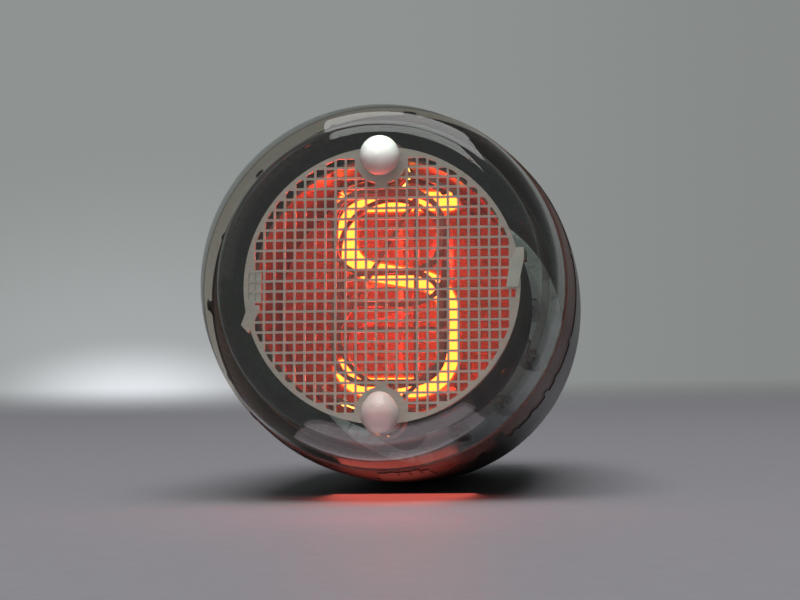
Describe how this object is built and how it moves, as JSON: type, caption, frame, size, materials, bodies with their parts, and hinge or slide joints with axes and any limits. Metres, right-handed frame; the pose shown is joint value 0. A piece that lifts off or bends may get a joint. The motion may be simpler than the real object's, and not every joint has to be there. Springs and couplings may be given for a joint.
{
  "type": "nixie tube",
  "caption": "End-view gas-filled numeral display tube: stacked metal numerals behind an etched anode mesh in a round glass bulb, dark lacquered side, circle of base pins.",
  "frame": {"origin": "centre of the pin circle, on the underside of the glass stem (the seating plane)", "axes": "the tube's axis runs along Y: the window faces -Y and the pins leave along +Y; the numerals stand upright along +Z, and +X is to their right as they are read"},
  "size_m": [0.0324, 0.0545, 0.0324],
  "materials": {
    "bulb_glass": "clear blown glass, smooth",
    "side_lacquer": "translucent red-brown lacquer, smooth",
    "black_coat": "opaque black paint, run at its front edge",
    "stem_glass": "pressed glass, smooth",
    "mesh_metal": "etched nickel-plated sheet, satin",
    "cup_metal": "pressed nickel sheet, satin",
    "ceramic": "fired ceramic, matt",
    "bead_glass": "opaque white glass, satin",
    "numeral_metal": "etched nickel sheet, darkened",
    "lit_numeral": "etched nickel sheet, glowing orange",
    "lead_wire": "nickel wire, drawn",
    "pin_metal": "tinned alloy pin, worn satin"
  },
  "bodies": {
    "root": {"glass_bulb": "bulb_glass", "side_lacquer": "side_lacquer", "black_coat": "black_coat", "glass_stem": "stem_glass", "anode_mesh": "mesh_metal", "anode_cup": "cup_metal", "rear_disc": "ceramic", "upper_rod": "ceramic", "lower_rod": "ceramic", "upper_bead": "bead_glass", "lower_bead": "bead_glass", "upper_rear_bead": "bead_glass", "lower_rear_bead": "bead_glass", "upper_spacers": "ceramic", "lower_spacers": "ceramic", "anode_lead": "lead_wire", "support_wire": "lead_wire", "digit_0": "numeral_metal", "digit_1": "numeral_metal", "digit_2": "numeral_metal", "digit_3": "numeral_metal", "digit_4": "numeral_metal", "digit_5": "lit_numeral", "digit_6": "numeral_metal", "digit_7": "numeral_metal", "digit_8": "numeral_metal", "digit_9": "numeral_metal", "lead_0": "lead_wire", "lead_1": "lead_wire", "lead_2": "lead_wire", "lead_3": "lead_wire", "lead_4": "lead_wire", "lead_5": "lead_wire", "lead_6": "lead_wire", "lead_7": "lead_wire", "lead_8": "lead_wire", "lead_9": "lead_wire", "pin_1": "pin_metal", "pin_2": "pin_metal", "pin_3": "pin_metal", "pin_4": "pin_metal", "pin_5": "pin_metal", "pin_6": "pin_metal", "pin_7": "pin_metal", "pin_8": "pin_metal", "pin_9": "pin_metal", "pin_10": "pin_metal", "pin_11": "pin_metal", "pin_12": "pin_metal"}
  },
  "joints": []
}
